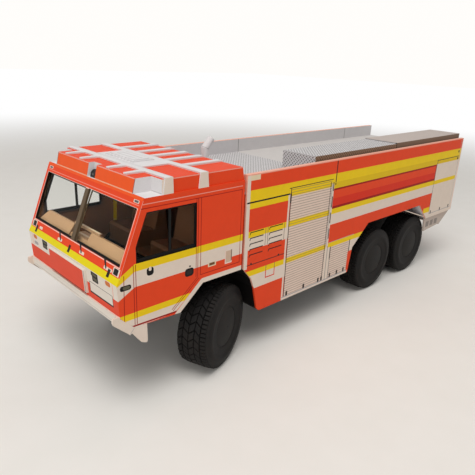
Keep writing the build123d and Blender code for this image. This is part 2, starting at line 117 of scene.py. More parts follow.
# %% Helpers for node trees
class Wiring:
    """Adds nodes to one tree and joins them to each other."""

    def __init__(self, tree):
        self.tree = tree

    def feed(self, socket, value):
        if isinstance(value, bpy.types.NodeSocket):
            self.tree.links.new(value, socket)
        elif value is not None:
            socket.default_value = value

    def add(self, kind, settings=None, **inputs):
        node = self.tree.nodes.new("ShaderNode" + kind)
        for name, value in (settings or {}).items():
            setattr(node, name, value)
        for name, value in inputs.items():
            self.feed(node.inputs[name.replace("_", " ")], value)
        return node

    def math(self, operation, a, b=None, c=None, clamp=False):
        node = self.add("Math", {"operation": operation, "use_clamp": clamp})
        for socket, value in zip(node.inputs, (a, b, c)):
            self.feed(socket, value)
        return node.outputs[0]

    def times(self, a, b):
        return self.math("MULTIPLY", a, b)

    def vector(self, operation, a, b=None, scale=None):
        node = self.add("VectorMath", {"operation": operation})
        self.feed(node.inputs[0], a)
        self.feed(node.inputs[1], b)
        if scale is not None:
            self.feed(node.inputs["Scale"], scale)
        gives_number = operation in ("LENGTH", "DOT_PRODUCT", "DISTANCE")
        return node.outputs["Value" if gives_number else "Vector"]

    def mix(self, mask, under, over, blend="MIX"):
        node = self.add("Mix", {"data_type": "RGBA", "blend_type": blend})
        for index, value in ((0, mask), (6, under), (7, over)):
            self.feed(node.inputs[index], value)
        return node.outputs[2]

    def split(self, vector):
        return self.add("SeparateXYZ", Vector=vector).outputs

    def join(self, x, y, z=0):
        return self.add("CombineXYZ", X=x, Y=y, Z=z).outputs[0]

    def fade(self, value, none_at, full_at):
        """Mask that grows smoothly from 0 at one value to 1 at another."""
        return self.add("MapRange", {"interpolation_type": "SMOOTHSTEP"}, Value=value,
                        From_Min=none_at, From_Max=full_at, To_Min=0, To_Max=1).outputs[0]

    def noise(self, place, scale, detail=2):
        node = self.add("TexNoise", Vector=place, Scale=scale, Detail=detail)
        return node.outputs["Fac"]

    def group(self, group, **inputs):
        return self.add("Group", {"node_tree": group}, **inputs).outputs


def new_group(name, outputs, **inputs):
    """Empty node group, its wiring, its inputs by name and its output node."""
    group = bpy.data.node_groups.new(name, "ShaderNodeTree")
    for way, sockets in (("INPUT", inputs), ("OUTPUT", outputs)):
        for label, kind in sockets.items():
            group.interface.new_socket(label, in_out=way, socket_type="NodeSocket" + kind)
    new = group.nodes.new
    return group, Wiring(group), new("NodeGroupInput").outputs, new("NodeGroupOutput")


def new_material(name):
    """Material with one shader, its wiring, the shader, and the piece's coordinates."""
    material = bpy.data.materials.new(name)
    material.use_nodes = True
    wiring = Wiring(material.node_tree)
    place = wiring.add("TexCoord").outputs["Object"]
    return material, wiring, material.node_tree.nodes["Principled BSDF"], place


print("wiring ready")

# %% [markdown]
# ## Three stencils
# A printed shape is a stencil with ink rolled over it. Nearly every mark on the model is a
# rectangle with more or less rounded corners, a ruled line, or a slanted edge. Each is a
# distance: from the point being shaded to the shape. Where that distance is below zero there
# is ink, and a twentieth of a millimetre of fading keeps the edge from looking cut by a laser.

# %% Stencil groups
INK_FADE = 0.05
MASK = {"Mask": "Float"}


def make_patch():
    """Rounded rectangle: inked inside its half sizes, round its middle."""
    group, w, given, out = new_group("Patch stencil", MASK, Place="Vector", Middle="Vector",
                                     Half="Vector", Corner="Float", Soft="Float")
    away = w.vector("ABSOLUTE", w.vector("SUBTRACT", given["Place"], given["Middle"]))
    flat = w.join(given["Corner"], given["Corner"])
    inside = w.vector("SUBTRACT", given["Half"], flat)
    past = w.vector("MAXIMUM", w.vector("SUBTRACT", away, inside), (0, 0, 0))
    gap = w.math("SUBTRACT", w.vector("LENGTH", past), given["Corner"])
    w.feed(out.inputs["Mask"], w.fade(gap, given["Soft"], 0))
    return group


def make_stroke():
    """Ruled line of a given half width between two points."""
    group, w, given, out = new_group("Stroke stencil", MASK, Place="Vector", From="Vector",
                                     To="Vector", Half="Float")
    reach = w.vector("SUBTRACT", given["Place"], given["From"])
    line = w.vector("SUBTRACT", given["To"], given["From"])
    along, whole = w.vector("DOT_PRODUCT", reach, line), w.vector("DOT_PRODUCT", line, line)
    share = w.math("MAXIMUM", w.math("DIVIDE", along, whole), 0)
    foot = w.vector("SCALE", line, scale=w.math("MINIMUM", share, 1))
    gap = w.math("SUBTRACT", w.vector("DISTANCE", reach, foot), given["Half"])
    w.feed(out.inputs["Mask"], w.fade(gap, INK_FADE, 0))
    return group


def make_edge():
    """Everything on the left of a line that runs from one point to another."""
    group, w, given, out = new_group("Edge stencil", MASK, Place="Vector", From="Vector",
                                     To="Vector")
    reach = w.vector("SUBTRACT", given["Place"], given["From"])
    line = w.vector("NORMALIZE", w.vector("SUBTRACT", given["To"], given["From"]))
    side = w.vector("DOT_PRODUCT", w.vector("CROSS_PRODUCT", line, reach), (0, 0, 1))
    w.feed(out.inputs["Mask"], w.fade(side, 0, INK_FADE))
    return group


PATCH, STROKE, EDGE = make_patch(), make_stroke(), make_edge()
print("stencils:", PATCH.name, STROKE.name, EDGE.name)

# %% [markdown]
# ## The card itself
# Printed card is never one flat colour. Short fibres lie in it, the toner takes unevenly, and a
# large panel is a little wavy where the glue pulled. The group takes the ink and gives back
# that ink with its mottling, a roughness that follows the fibres, and a bumpy normal. A
# photographed texture could do this too, but noise never repeats and needs no file.

# %% The card group
FIBRE_SCALE, MOTTLE_SCALE, WAVE_SCALE = 2600, 240, 30
FIBRE_STRETCH = (0.35, 1, 0.7)
DARKEST, MOTTLE_TONE, FIBRE_TONE = 0.915, 0.10, 0.07
SMOOTHEST, FIBRE_ROUGHNESS = 0.52, 0.22
WAVE_HEIGHT, FIBRE_SHARE = 0.0012, 0.02


def make_card():
    group, w, given, out = new_group("Printed card", {
        "Colour": "Color", "Roughness": "Float", "Normal": "Vector"}, Ink="Color", Gloss="Float")
    place = w.add("TexCoord").outputs["Object"]
    fibre = w.noise(w.vector("MULTIPLY", place, FIBRE_STRETCH), FIBRE_SCALE, 3)
    mottle = w.noise(place, MOTTLE_SCALE, 4)
    wave = w.noise(place, WAVE_SCALE, 1)
    fibre_tone = w.math("MULTIPLY_ADD", fibre, FIBRE_TONE, DARKEST)
    tone = w.math("MULTIPLY_ADD", mottle, MOTTLE_TONE, fibre_tone)
    toned = w.mix(1, given["Ink"], w.join(tone, tone, tone), "MULTIPLY")
    w.feed(out.inputs["Colour"], toned)
    rough = w.math("MULTIPLY_ADD", fibre, FIBRE_ROUGHNESS, SMOOTHEST)
    w.feed(out.inputs["Roughness"], w.math("SUBTRACT", rough, given["Gloss"]))
    height = w.math("MULTIPLY_ADD", wave, 1, w.times(fibre, FIBRE_SHARE))
    bump = w.add("Bump", Strength=0.5, Distance=WAVE_HEIGHT, Height=height)
    w.feed(out.inputs["Normal"], bump.outputs["Normal"])
    return group


CARD = make_card()
print("card group has", len(CARD.nodes), "nodes")

# %% [markdown]
# ## The inks
# A colour printer gives a narrow set of colours, so the whole model shares one list. The
# numbers are those of a paint box, and one function turns them into amounts of light. Each
# material could hold its own numbers, but then one red would soon become several. Some
# entries are painted light: copies of the red, the yellow and the white, lighter, cooler or
# more orange for faces that look up or forward, as the lamps fall on them there.

# %% Inks
def linear(red, green, blue):
    """Colour from the 0 to 255 values of a paint box, as the renderer counts light."""
    return tuple((v / 255) ** 2.2 for v in (red, green, blue)) + (1,)


INKS = {name: linear(*paint) for name, paint in {
    # painted light: the two reds after the first on the line below are it as lit on forward faces
    "red": (228, 70, 32), "front-lit red": (234, 88, 36), "front-lit nose red": (226, 76, 52),
    "deep red": (216, 50, 26), "dark red": (150, 18, 12), "pale red": (240, 130, 105),
    # painted light: the last yellow on the line below is the first as lit on forward faces
    "yellow": (236, 200, 20), "amber": (222, 186, 20), "front-lit yellow": (226, 208, 22),
    "orange": (206, 118, 66),
    # painted light: the second white below is the first as lit from above, the third as lit from
    # the front
    "white": (226, 210, 196), "cool-lit white": (222, 220, 222), "front-lit white": (226, 217, 206),
    # the first ink on the line below is raw card on cut edges, and also a painted highlight along
    # folds
    "raw card and highlight": (236, 208, 196), "pink": (238, 176, 156), "cream": (226, 208, 176),
    "blind": (226, 204, 190), "ash": (206, 204, 206), "deck grey": (204, 200, 198),
    "plain grey": (200, 188, 182), "tail grey": (190, 176, 166), "lid grey": (186, 174, 168),
    "grey": (168, 164, 166), "slate": (96, 92, 92), "lamp": (92, 88, 70),
    "sheet tan": (204, 176, 154), "tan": (190, 151, 112), "dark tan": (138, 104, 76),
    "door brown": (150, 108, 76), "lid side": (136, 112, 92), "brown": (112, 78, 52),
    "bulkhead": (92, 48, 24), "shade": (120, 100, 84), "pillar": (95, 80, 62),
    "soot": (44, 38, 36), "reveal": (30, 24, 18), "black": (22, 20, 20),
    "inside": (14, 12, 12),
}.items()}
print("inks:", len(INKS))

# %% [markdown]
# ## A print
# The class keeps the colour reached so far and lays one ink after another over it, as a
# printer's plates do. `face` picks the faces that look along one axis, because the cut edges of
# a card show the raw sheet, and the two printed faces of a piece can differ. A table can then
# say a patch as an ink and its borders, and a line as an ink, its two ends and its width.

# %% The print class
# how squarely a face has to look along an axis, from 0 to 1
LOOKS_ALONG = 0.6


class Print:
    """A card material: a base ink, and stencilled inks over it."""

    def __init__(self, name, base, gloss=0):
        self.material = bpy.data.materials.new(name)
        self.material.use_nodes = True
        self.material.node_tree.nodes.clear()
        self.w = Wiring(self.material.node_tree)
        coordinates = self.w.add("TexCoord").outputs
        from_datum = self.w.vector("SUBTRACT", coordinates["Object"], (DATUM_X, 0, 0))
        millimetres = self.w.vector("SCALE", from_datum, scale=1 / MM)
        self.axes = dict(zip("xyz", self.w.split(millimetres)))
        self.facing = dict(zip("xyz", self.w.split(coordinates["Normal"])))
        self.colour = INKS[base]
        self.gloss = gloss
        self.gate = None
        self.place = None

    def face(self, plane, facing=None, beyond=None, within=None):
        """Print next in the plane of two axes, on the faces that look along a third one.
        beyond and within keep the ink to places farther out, or nearer, than a distance."""
        w = self.w
        self.place = w.join(*(self.axes[axis] for axis in plane))
        masks = []
        if facing:
            turn = self.facing[facing[-1]]
            turn = w.times(turn, -1) if facing[0] == "-" else turn
            turn = w.math("ABSOLUTE", turn) if len(facing) == 1 else turn
            masks.append(w.math("GREATER_THAN", turn, LOOKS_ALONG))
        for limit, operation in ((beyond, "GREATER_THAN"), (within, "LESS_THAN")):
            if limit:
                masks.append(w.math(operation, w.math("ABSOLUTE", self.axes[limit[0]]), limit[1]))
        self.gate = masks[0] if masks else None
        for mask in masks[1:]:
            self.gate = w.times(self.gate, mask)

    def ink(self, ink, mask=None, strength=1):
        """Lays an ink through a mask, or over the whole face."""
        if self.gate is not None:
            mask = self.gate if mask is None else self.w.times(mask, self.gate)
        if strength < 1:
            mask = self.w.times(mask, strength)
        self.colour = self.w.mix(1 if mask is None else mask, self.colour, INKS[ink])

    def coat(self, ink, *face, **limits):
        """Picks faces as face does, and covers them with one ink."""
        self.face(*face, **limits)
        self.ink(ink)

    def patch_mask(self, x0, x1, z0, z1, corner=0, soft=INK_FADE):
        half = (abs(x1 - x0) / 2, abs(z1 - z0) / 2, 1)
        return self.w.group(PATCH, Place=self.place, Middle=((x0 + x1) / 2, (z0 + z1) / 2, 0),
                            Half=half, Corner=corner, Soft=soft)[0]

    def patch(self, ink, x0, x1, z0, z1, corner=0, soft=INK_FADE, strength=1):
        self.ink(ink, self.patch_mask(x0, x1, z0, z1, corner, soft), strength)

    def patches(self, rows, side=1):
        """Patches from a table, where side -1 mirrors each row's first two borders."""
        for ink, start, end, *rest in rows:
            self.patch(ink, side * start, side * end, *rest)

    def stroke(self, ink, start, end, width, strength=1):
        self.ink(ink, self.w.group(STROKE, Place=self.place, From=(*start, 0), To=(*end, 0),
                                   Half=width / 2)[0], strength)

    def strokes(self, rows):
        for ink, x0, z0, x1, z1, width in rows:
            self.stroke(ink, (x0, z0), (x1, z1), width)

    def shape(self, ink, corners):
        """Convex shape, its corners in anticlockwise order."""
        mask = None
        for start, end in zip(corners, corners[1:] + corners[:1]):
            edge = self.w.group(EDGE, Place=self.place, From=(*start, 0), To=(*end, 0))[0]
            mask = edge if mask is None else self.w.math("MINIMUM", mask, edge)
        self.ink(ink, mask)

    def dress(self, slot, *names):
        """Finishes the material and gives it to the named pieces, or to new ones."""
        w = self.w
        card = w.group(CARD, Ink=self.colour, Gloss=self.gloss)
        shader = w.add("BsdfPrincipled", Base_Color=card["Colour"],
                       Roughness=card["Roughness"], Normal=card["Normal"])
        shader.inputs["Specular IOR Level"].default_value = 0.2
        output = w.add("OutputMaterial")
        w.feed(output.inputs["Surface"], shader.outputs[0])
        for name in names:
            piece = nodes[name] if name in nodes else bpy.data.objects[name]
            piece.data.materials.clear()
            piece.data.materials.append(self.material)
        print(self.material.name, "on", ", ".join(names), "with", len(w.tree.nodes), "nodes")


print("print class ready")

# %% [markdown]
# ## The cab's sides
# A door panel carries most of the small print: two yellow stripes with white bands, which step
# down ahead of the door, ruled door lines, and the handle and lamps drawn in black. The stripes
# are patches, and their slanted ends are shapes with four corners. The inner face is plain
# brown with a yellow belt, and the window's cut edges are nearly black. Doors and handles could
# be modelled, but on the real card they are ink, so they are ink here.

# %% Cab sides
# card farther out than this is a side's printed face
PRINTED_SIDE = HALF_WIDTH - 0.4
CAB_PATCHES = [
    # ink, rear x, front x, low z, high z
    ("white", -64, -6.6, 56, 62.3), ("yellow", -64, -6.6, 62.3, 65.4),
    ("yellow", -30.4, -5.7, 42.6, 45.3),
]
CAB_SHAPES = [
    # ink, then corners (x, z)
    ("white", [(-6.6, 56), (1.6, 51.5), (1.6, 57.7), (-6.6, 62.3)]),
    ("yellow", [(-6.6, 62.3), (1.6, 57.7), (1.6, 60.6), (-6.6, 65.4)]),
    ("yellow", [(-5.8, 42.6), (-2, 42.2), (0.8, 45.3), (-5.8, 45.3)]),
    ("yellow", [(-30.5, 42.6), (-30.3, 42.6), (-30.3, 45.3), (-33.6, 45.3)]),
    ("white", [(-25.5, 38.6), (-4.6, 38.6), (-1.9, 42.6), (-30.5, 42.6)]),
]
CAB_MARKS = [
    # small printed fittings: ink, rear x, front x, low z, high z, corner
    ("black", -4.9, -0.1, 55.7, 57.8, 0.9), ("lamp", -4.4, -1.3, 56.1, 57.4, 0.6),
    ("black", -15.2, -12, 59, 62.4, 1.2), ("white", -14.2, -13, 60.9, 62.6, 0.5),
    ("black", -35.2, -30.6, 53.2, 56.8, 1.3), ("soot", -34.4, -31.4, 54, 56, 0.9),
    ("black", -33.6, -32.8, 57.2, 58, 0.4),
    ("raw card and highlight", -57, -52.9, 53.4, 59.4, 0), ("sheet tan", -56.7, -53.4, 54, 59.4, 0),
    ("shade", -57, -56.5, 54.4, 59.6, 0), ("cream", -47.6, -43.1, 54.5, 56.4, 0.2),
    ("brown", -46.9, -43.8, 55, 56.2, 0.2),
]
CAB_TRIM = [
    # ink, x, z to x, z, width: the white arch trim, then the red line under the door
    ("white", -66, 48, -40.4, 48, 4.4), ("white", -40.4, 48, -27.6, 37, 4.4),
    ("dark red", -0.6, 43, -4.6, 39.4, 0.7), ("dark red", -4.6, 39.4, -26, 38.9, 0.7),
]
DOOR_LINES = [
    # x, z to x, z
    (-1.9, 61.7, -1.5, 42.5), (-6.1, 40, -6.1, 65), (-7.1, 40, -7.1, 65),
    (-36.5, 52, -36.5, 86.3), (-24.6, 39.8, -38, 50.9),
    (-37.4, 52, -37.4, 86.3), (-38.9, 52.2, -38.9, 86.3), (-24, 40.5, -37.4, 51.6),
    (-38.9, 52.2, -61.8, 52.2), (-61.8, 52.2, -61.8, 86.3), (-6, 86.3, -61.8, 86.3),
]
# the window's borders, and how far round them its cut edges are looked for
WINDOW = (-36.6, -7.4, 65.4, 84.7)
CUT = 0.3
# the stripes run on over the nose: low z, high z
NOSE_WHITE, NOSE_YELLOW = (52, 58.4), (58.4, 61.2)

card = Print("cab_side_print", "raw card and highlight", gloss=0.06)
card.coat("door brown", "xz", "y", within=("y", PRINTED_SIDE))
card.stroke("yellow", (-45.8, 84), (-44.3, 54.2), 2)
rear, front, low, high = WINDOW
for facing, x0, x1 in (("z", rear - CUT, front + CUT), ("-x", rear + 1, front + CUT),
                       ("+x", rear - CUT, rear + CUT)):
    card.face("xz", facing)
    card.patch("reveal", x0, x1, low - CUT, high + CUT)
card.coat("red", "yz", "+x", within=("x", 12))
# painted light: on forward faces the stripes take the white and the yellow as lit from the front
card.patch("front-lit white", -41, 41, *NOSE_WHITE)
card.patch("front-lit yellow", -41, 41, *NOSE_YELLOW)
card.coat("red", "xz", "y", beyond=("y", PRINTED_SIDE))
card.patches(CAB_PATCHES)
for ink, corners in CAB_SHAPES:
    card.shape(ink, corners)
card.strokes(CAB_TRIM)
for x0, z0, x1, z1 in DOOR_LINES:
    card.stroke("dark red", (x0, z0), (x1, z1), 0.28, 0.9)
card.patches(CAB_MARKS)
# painted highlights: pale lines along the fold of the front pillar and the fold under the roof
card.stroke("raw card and highlight", (0, 61), (-11.3, 89.6), 0.3, 0.5)
card.stroke("raw card and highlight", (-11, 87.9), (-62, 87.9), 0.3, 0.45)
card.dress("red_card", "cab_side_left", "cab_side_right")

# %% [markdown]
# ## The nose and the windscreen frame
# The front is one folded sheet. Below the belt it carries the lamps and a blank plate, above
# it the windscreen with its black stops and wiper arms. Heights on the leaning screen are
# measured up the slope, so they are turned into heights above the ground first.

# %% Nose and windscreen frame
SLOPE = screen_high - screen_low
RISE = SLOPE.z / math.hypot(SLOPE.x, SLOPE.z)


def up_screen(v):
    """Height above the ground of a point v millimetres up the windscreen."""
    return BELT_Z + v * RISE


NOSE_LAMPS = [
    # on each side: ink, inner y, outer y, low z, high z, corner
    ("black", 20.2, 25.6, 56.2, 58.1, 0.5), ("black", 20.9, 25.6, 54, 56.8, 0.5),
    ("lamp", 21.2, 24.7, 56.6, 57.5, 0.3), ("lamp", 21.6, 24.7, 54.6, 55.7, 0.3),
    ("orange", 31.4, 35.2, 56.1, 58.1, 0.9),
]
SCREEN_STOPS = (-33.5, -0.4, 32.2)
STOP_HALF = 0.9
SCREEN_CORNERS = [
    # on each side: ink, inner y, outer y, then from and to up the slope, corner
    ("white", 34.5, 39.5, 0.4, 3.3, 0.3), ("black", 35.1, 38.1, 0.6, 3, 0.3),
    ("white", 34.4, 38, 29.2, 30.4, 0.2), ("slate", 34.9, 37.5, 29.4, 30.2, 0.3),
]
# white marks at the wipers' roots: y, y
WIPER_ROOTS = [(-12, -8), (8, 12), (28, 34), (-31, -28)]
WIPERS = (-12, 7, 27)
SCREEN_LOW, SCREEN_HIGH, SCREEN_EDGE_Y = 3.7, 27.3, 38.2
MIDDLE_POST = 3

card = Print("nose_print", "raw card and highlight", gloss=0.05)
# painted light: the nose below the belt is in the red as lit from the front
card.coat("front-lit nose red", "yz", "x")
# painted light: the nose's stripes are in the yellow and the white as lit from the front
card.patch("front-lit yellow", -40, 40, *NOSE_YELLOW)
card.patch("front-lit white", -40, 40, *NOSE_WHITE)
for side in (-1, 1):
    card.patches(NOSE_LAMPS, side)
    card.stroke("pale red", (side * 36.7, 52), (side * 36.7, 58.4), 0.3, 0.8)
for y in SCREEN_STOPS:
    card.patch("black", y - STOP_HALF, y + STOP_HALF, 59.5, 61.4, 0.2)
card.patch("black", 18, 36, 47.9, 52.9, 0.3)
# painted light: the plate is in the white as lit from the front
card.patch("front-lit white", 18.3, 35.7, 48.6, 52.7, 0.2)
card.patch("grey", -35.2, -31, 53.2, 54.8, 0.8)
card.dress("red_card", "cab_nose")


def print_screen_frame():
    card = Print("screen_frame_print", "raw card and highlight", gloss=0.06)

    def patch(ink, y0, y1, low, high, corner=0):
        card.patch(ink, y0, y1, up_screen(low), up_screen(high), corner)

    def line(ink, y0, v0, y1, v1, width, strength=1):
        card.stroke(ink, (y0, up_screen(v0)), (y1, up_screen(v1)), width, strength)

    card.ink("reveal")
    card.coat("red", "yz", "+x")
    # painted highlights: pale lines round the panes of the screen
    for v in (SCREEN_LOW, SCREEN_HIGH):
        line("raw card and highlight", -SCREEN_EDGE_Y, v, SCREEN_EDGE_Y, v, 0.35, 0.9)
    for side in (-1, 1):
        y = side * SCREEN_EDGE_Y
        line("raw card and highlight", y, SCREEN_LOW, y, SCREEN_HIGH, 0.3, 0.8)
        for ink, y0, y1, *heights in SCREEN_CORNERS:
            patch(ink, side * y0, side * y1, *heights)
    for y0, y1 in WIPER_ROOTS:
        patch("white", y0, y1, 0.6, 1.8, 0.3)
    for y in WIPERS:
        line("black", y, 4.6, y + 1.2, 3, 1.1)
        line("black", y + 1.2, 3, y + 2.5, 1.3, 0.8)
    for y in SCREEN_STOPS:
        patch("black", y - STOP_HALF, y + STOP_HALF, -0.4, 1.5, 0.2)
    # painted highlights: pale lines along the two folds above the screen
    for v in (28.6, 30.9):
        line("raw card and highlight", -38.5, v, 38.5, v, 0.25, 0.35)
    patch("pillar", -1.7, 1.7, 4, 27)
    card.coat("pillar", "xz", "y", within=("y", MIDDLE_POST))
    card.dress("red_card", "windscreen_frame")


print_screen_frame()

# %% [markdown]
# ## Flap, band and bumper ends
# The flap on the nose is a separate layer of card with a white rim on two sides; the right
# one is painted grey as in shade, with a painted highlight along it. The band and the end
# plates under it are white sheet with only a thin fold line. Rim and fold could be thin pieces
# of their own, but on the card they are printed, and a few patches and lines do the same.

# %% Nose pieces
# painted light: the flap is in the white and the red as lit from the front
card = Print("flap_print", "front-lit white", gloss=0.05)
card.coat("front-lit nose red", "yz", "+x")
# painted shade and highlight: the right rim is printed pale grey, with a pale line along its
# inner edge
card.patch("plain grey", 15.3, 16.3, 46.6, 57.4)
card.stroke("slate", (16, 46.8), (16, 57.2), 0.25)
card.stroke("raw card and highlight", (15.2, 46.8), (15.2, 56.8), 0.25)
card.patch("front-lit white", -16.4, 16.3, 56.8, 57.4)
card.stroke("soot", (-16, 46.9), (16, 46.9), 0.35)
card.dress("red_card", "front_flap")
# painted light: the band is in the white as lit from the front
card = Print("bumper_print", "front-lit white")
card.face("yz", "x")
card.stroke("grey", (-38, 42.3), (38, 42.3), 0.25, 0.6)
card.dress("white_card", "bumper_band")
card = Print("bumper_end_print", "white")
card.face("xz", "y")
card.stroke("grey", (-3.8, 36.4), (-5.6, 38.4), 0.25, 0.7)
card.dress("white_card", "bumper_end_left", "bumper_end_right")

# %% [markdown]
# ## The roof
# The hump is red, with painted highlights along its folded corners, and its front faces are
# in the red as lit from the front. Its corner niches are white inside, in the white as lit
# from above, with painted shade at the foot of their back walls. The lattice of ribs is white
# card, and its print has soft grey shading along one side of each rib and each strap, which
# imitates depth. A wide fading on the patch stencil gives that shading. The lamps alone would
# leave such thin ribs flat.

# %% Roof
HUMP_SIDE_Y, HUMP_TOP_Z = 35, 95
NICHES = [
    # rear and front x of the floor, then of the back, then y, y
    (-20.3, -12, -20.4, -19.6, 32, 40), (-20.3, -12, -20.4, -19.6, -40, -32),
    (-15.7, -11.6, -15.9, -15.3, -3.4, 3.4),
]
# y of each rib, then the rear x of each strap across them
RIB_LINES = [-25, -11.6, 0, 11.2, 24.2]
STRAP_EDGES = [-25, -42.7]
# the hatch: rear x, front x, y, y, and how far inside it the two printed frames run
HATCH, HATCH_INSETS = (-37.2, -26.4, -13.5, 9.5), (0.5, 4)

card = Print("roof_print", "red", gloss=0.05)
card.face("xy", "z", within=("z", HUMP_TOP_Z))
# painted light: the niches' floors are in the white as lit from above, cooler than on the sides
for rear, front, _, _, *across in NICHES:
    card.patch("cool-lit white", rear, front, *across)
# painted light: the faces that look forward are in the red as lit from the front, more orange
card.coat("front-lit red", "yz", "+x", within=("z", HUMP_TOP_Z + 0.5))
card.face("xz", "y", beyond=("y", HUMP_SIDE_Y))
card.patch("white", -21.6, -19, 90.2, 96.4)
# painted light: the niches' walls are in the white as lit from above
card.face("xy", "x")
for _, _, rear, front, *across in NICHES:
    card.patch("cool-lit white", rear, front, *across)
card.face("xy", "y", within=("y", HUMP_SIDE_Y))
card.patch("cool-lit white", -20, -11, -33, 33)
card.face("yz", "x", beyond=("z", 90))
# painted highlights: pale lines along the hump's top front edge and the roof plate's front edge
card.stroke("raw card and highlight", (-32, 95.8), (32, 95.8), 0.4, 0.5)
card.stroke("cream", (-32, 90.4), (32, 90.4), 0.4, 0.6)
# painted shade: a soft grey line along the foot of each corner niche's back wall
for side in (-1, 1):
    card.stroke("slate", (side * 32.2, 90.3), (side * 32.2, 95.8), 0.3)
    card.stroke("grey", (side * 32.2, 90.4), (side * 40, 90.4), 0.3, 0.6)
card.stroke("slate", (3.1, 91), (3.1, 95.6), 0.25)
card.face("xz", "y", beyond=("y", HUMP_SIDE_Y))
# painted highlight: a pale line along the hump's top side edge
card.stroke("raw card and highlight", (-21.6, 95.8), (-63, 95.8), 0.35, 0.5)
card.dress("red_card", "roof_hump", "roof_plate")

# painted light: the lattice's top is in the white as lit from above, its sides in the white of
# the sides
card = Print("lattice_print", "cool-lit white")
card.face("xy", "z")
for y in RIB_LINES:
    card.patch("grey", -62.5, -42.7, y + 0.9, y + 2.2, soft=0.9, strength=0.5)
    card.patch("grey", -20.2, -12.5, y + 0.7, y + 1.8, soft=0.7, strength=0.4)
# painted shade: a soft grey band along each strap's rear edge, like the ribs' shading
for x in STRAP_EDGES:
    card.patch("grey", x - 0.2, x + 0.8, -40, 40, soft=0.9, strength=0.2)
card.coat("white", "xz", "y", beyond=("y", HUMP_SIDE_Y))
card.dress("white_card", "roof_lattice")

# painted light: the hatch is in the white as lit from above
card = Print("hatch_print", "cool-lit white")
card.face("xy", "z")
rear, front, right, left = HATCH
for inset in HATCH_INSETS:
    x0, x1, y0, y1 = rear + inset, front - inset, right + inset, left - inset
    for line in ((x0, x1, y0, y0), (x1, x1, y0, y1), (x1, x0, y1, y1), (x0, x0, y1, y0)):
        card.patch("grey", *line, soft=0.7, strength=0.45)
card.dress("white_card", "roof_hatch")

card = Print("lamp_print", "black", gloss=0.2)
card.face("yz", "x")
card.patch("slate", -0.5, 0.5, 91.2, 91.9, 0.3)
card.dress("black_card", "roof_lamp")

# %% [markdown]
# ## The body's sides
# One long sheet, with a locker shutter and louvres at the front, a deep recess drawn in darker
# reds in the middle, and a white door at the rear. The shutter's slats and the louvres repeat,
# so one is a running fraction of the height and the other is a loop. Slats could be modelled
# too, but these are flat, and their print is what catches the eye.

# %% Body sides
BODY_PATCHES = [
    # ink, rear x, front x, low z, high z
    ("yellow", -286.8, -64.9, 79.3, 84.9), ("yellow", -94.5, -64.9, 76.3, 79.2),
    ("amber", -286.8, -130.3, 76.7, 80), ("deep red", -250, -130.3, 65.4, 76.7),
    ("red", -249, -130.9, 71.2, 75.8), ("dark red", -250, -130.3, 75.8, 76.7),
    ("dark red", -250, -130.3, 65.4, 66.8), ("dark red", -250, -249.4, 65.4, 76.7),
    ("yellow", -284, -64.9, 62.4, 65.4), ("white", -250, -64.9, 56.4, 62.4),
    ("yellow", -165, -64.9, 42.8, 45.6), ("white", -165, -64.9, 35.6, 42.8),
    ("white", -94.6, -93.4, 22, 79), ("white", -133.2, -127, 22, 43),
    ("white", -130.3, -127, 43, 79.4),
    ("white", -67, -64, 47, 92), ("cream", -73, -67, 89.4, 91.8),
    ("yellow", -250, -241, 42.6, 46.2), ("white", -251, -239, 37, 42.6),
    ("white", -287, -250, 38, 76.8), ("yellow", -284, -250, 62.4, 65.1),
    ("red", -155, -151.4, 22, 36), ("raw card and highlight", -287, -285.6, 38, 92.2),
    ("white", -152, -94, 21, 24),
]
SHUTTERS = [
    # rear x, front x, low z, high z
    (-128.2, -95, 24, 81.8), (-151, -133, 24, 42.8),
]
SHUTTER_STRIPES = [(78, 81.8), (62.4, 65.4), (42.8, 45.6)]
# a slat's height, and the part of it that its dark line takes on the sides and at the rear
SLAT_PITCH, SLAT_LINE, REAR_SLAT_LINE = 1.35, 0.28, 0.26
LOUVRE_COLUMNS = [(-77, -68.5), (-90.5, -81.5)]
LOUVRE_ROWS = [64.9, 62.1, 59.3, 56.6, 53.8]
LATCHES = {
    # low z: middle x of each
    24: [-97.5, -111.5, -124.3, -127.2, -135, -141.8, -148.3],
    40.6: [-252.5, -267, -281],
}
BODY_LINES = [
    # ink, x, z to x, z, width
    ("black", -65.5, 79.3, -94.2, 79.3, 0.7), ("soot", -94, 82.1, -129, 82.1, 0.35),
    ("black", -95.2, 75, -95.2, 79, 1), ("soot", -95.2, 24, -95.2, 82, 0.5),
    ("soot", -127.4, 24, -127.4, 80.5, 0.45), ("grey", -128.6, 44, -128.6, 80, 0.5),
    ("black", -131.5, 79, -131.5, 92.4, 0.7), ("soot", -67, 48.7, -93, 48.7, 0.35),
    ("grey", -94, 23.7, -152, 23.7, 0.5), ("soot", -133, 36, -133, 42.8, 0.7),
    ("slate", -133, 24, -133, 36, 0.35),
    ("slate", -130.2, 24, -130.2, 44, 0.3),
    ("soot", -151.8, 36, -151.8, 43, 0.7),
    ("slate", -250.2, 42, -250.2, 77, 0.4),
    ("grey", -283.8, 41, -283.8, 92, 0.3), ("grey", -250.2, 41, -284, 41, 0.4),
    ("soot", -250, 79.4, -284, 79.4, 0.35),
    ("amber", -131, 80, -250, 80, 0.3),
    ("shade", -78.6, 56.6, -78.6, 65.2, 0.25), ("shade", -80.2, 56.6, -80.2, 65.2, 0.25),
    ("shade", -92, 56.6, -92, 65.2, 0.25), ("soot", -250.6, 77.4, -250.6, 79.4, 0.6),
    ("deep red", -80.3, 43.2, -80.3, 39.2, 0.5), ("deep red", -86.5, 43.2, -86.5, 39.2, 0.5),
    ("deep red", -80.3, 39.2, -86.5, 39.2, 0.5), ("shade", -80.3, 43.2, -80.3, 45.6, 0.3),
    ("shade", -86.5, 43.2, -86.5, 45.6, 0.3), ("grey", -155.4, 45.8, -131, 45.8, 0.25),
]
